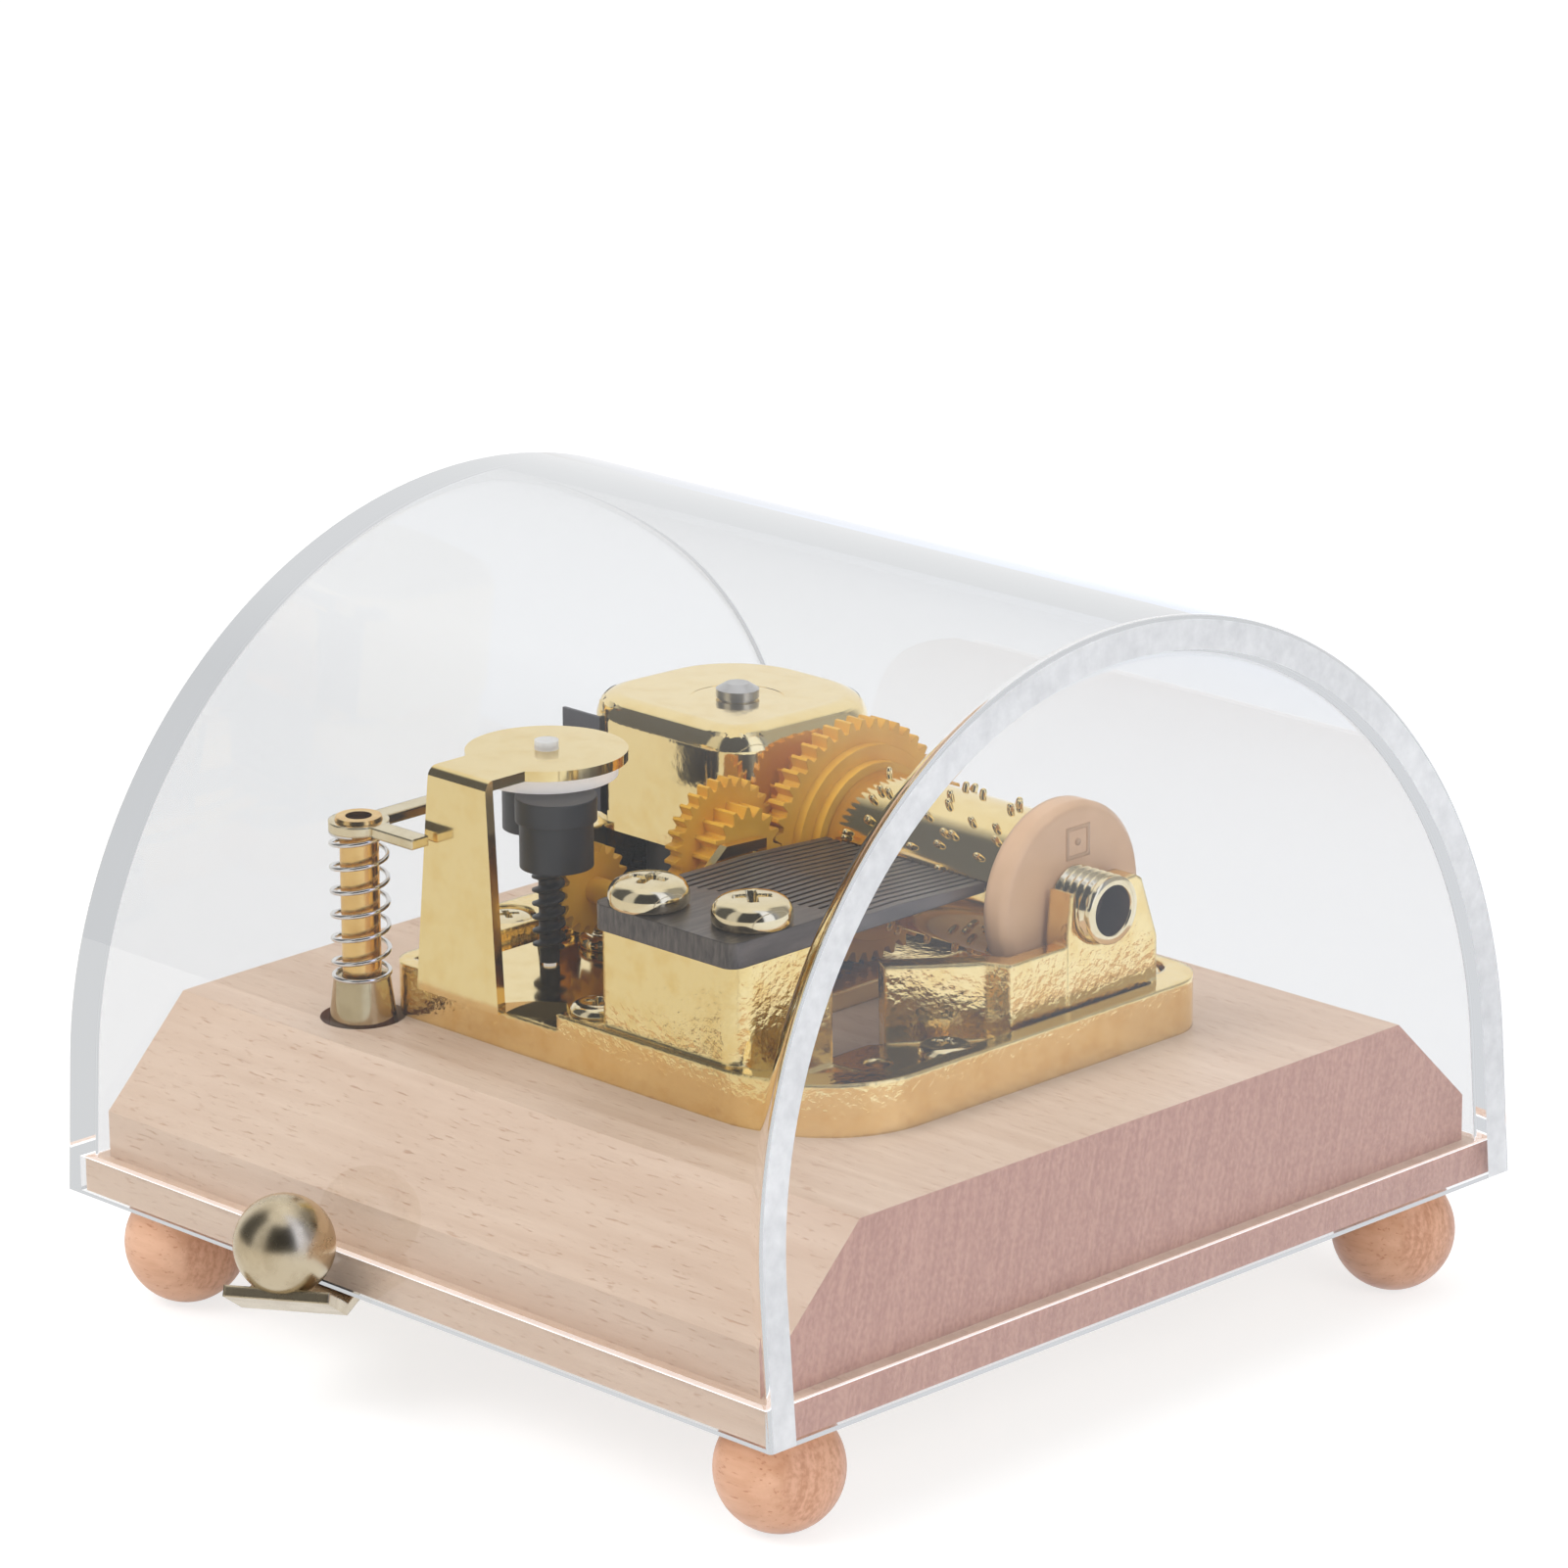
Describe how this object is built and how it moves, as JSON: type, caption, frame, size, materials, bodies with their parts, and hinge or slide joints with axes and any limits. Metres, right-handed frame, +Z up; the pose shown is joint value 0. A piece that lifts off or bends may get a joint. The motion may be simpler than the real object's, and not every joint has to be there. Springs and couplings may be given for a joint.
{
  "type": "music box",
  "caption": "Wind-up music box: pinned cylinder, comb, spring housing and governor under a clear arched cover on a wooden base with ball feet, with a start and stop lever",
  "frame": {"origin": "on the floor, under the middle of the part's whole outline: the middle of the case lies 4.4 mm behind it, because the lever's ball stands out in front", "axes": "+X along the arched cover from the spring housing to the bearing post, -Y to the side with the lever's ball, +Z up"},
  "size_m": [0.08, 0.0915, 0.0623],
  "materials": {
    "clear_cover": "clear moulded acrylic",
    "base_wood": "planed beech, clear lacquer",
    "foot_wood": "turned beech, clear lacquer",
    "gold_casting": "gold-plated casting",
    "gold_sheet": "gold-plated sheet",
    "pale_brass": "polished brass",
    "comb_steel": "hardened steel",
    "steel": "bright steel",
    "spring_steel": "blued spring steel",
    "amber_plastic": "moulded",
    "black_plastic": "moulded",
    "white_plastic": "moulded nylon"
  },
  "bodies": {
    "case": {"base": "base_wood", "foot_front_left": "foot_wood", "foot_front_right": "foot_wood", "foot_back_left": "foot_wood", "foot_back_right": "foot_wood", "bedplate": "gold_casting", "wood_screws": "pale_brass", "comb": "comb_steel", "comb_screws": "pale_brass", "spring_housing": "gold_sheet", "mainspring": "spring_steel", "governor_bracket": "gold_sheet", "bracket_screws": "pale_brass", "governor_disc": "white_plastic", "stop_cup": "pale_brass", "stop_spring": "steel"},
    "cover": {"cover": "clear_cover"},
    "cylinder": {"drum": "gold_casting", "cylinder_gear": "amber_plastic", "drive_gear": "amber_plastic", "end_disc": "amber_plastic", "cylinder_arbor": "pale_brass"},
    "great_wheel": {"great_wheel": "black_plastic"},
    "winder": {"winding_arbor": "steel", "ratchet_wheel": "steel", "winding_key": "gold_sheet"},
    "first_wheel": {"first_wheel": "amber_plastic", "first_arbor": "steel"},
    "second_wheel": {"second_wheel": "amber_plastic", "second_arbor": "steel"},
    "governor": {"governor_worm": "black_plastic", "governor_fly": "black_plastic", "governor_pin": "steel"},
    "stop_lever": {"stop_tube": "pale_brass", "stop_fork": "pale_brass", "stop_lever": "pale_brass", "lever_ball": "pale_brass"}
  },
  "joints": [
    {"name": "cover_lift", "type": "slide", "parent": "case", "child": "cover", "axis": [0, 0, 1], "range_m": [0, 0.06]},
    {"name": "cylinder_spin", "type": "hinge", "parent": "case", "child": "cylinder", "pos_m": [0, 0.0139, 0.0356], "axis": [1, 0, 0], "continuous": true},
    {"name": "great_wheel_spin", "type": "hinge", "parent": "case", "child": "great_wheel", "pos_m": [-0.01225, 0.0122, 0.03], "axis": [0, 0, 1], "continuous": true},
    {"name": "winder_turn", "type": "hinge", "parent": "case", "child": "winder", "pos_m": [-0.01225, 0.0122, 0.02], "axis": [0, 0, 1], "continuous": true},
    {"name": "first_wheel_spin", "type": "hinge", "parent": "case", "child": "first_wheel", "pos_m": [0, 0.00118, 0.0371], "axis": [1, 0, 0], "continuous": true},
    {"name": "second_wheel_spin", "type": "hinge", "parent": "case", "child": "second_wheel", "pos_m": [0, -0.00447, 0.03297], "axis": [1, 0, 0], "continuous": true},
    {"name": "governor_spin", "type": "hinge", "parent": "case", "child": "governor", "pos_m": [-0.012, -0.0089, 0.04], "axis": [0, 0, 1], "continuous": true},
    {"name": "stop_lever_turn", "type": "hinge", "parent": "case", "child": "stop_lever", "pos_m": [-0.0219, -0.0198, 0.009], "axis": [0, 0, 1], "range_deg": [-6, 0]}
  ],
  "couplings": [
    {"joint": "great_wheel_spin", "follows": "cylinder_spin", "ratio": 0.66667},
    {"joint": "first_wheel_spin", "follows": "cylinder_spin", "ratio": -2.8125},
    {"joint": "second_wheel_spin", "follows": "cylinder_spin", "ratio": 8.4375},
    {"joint": "governor_spin", "follows": "cylinder_spin", "ratio": 160.31}
  ]
}
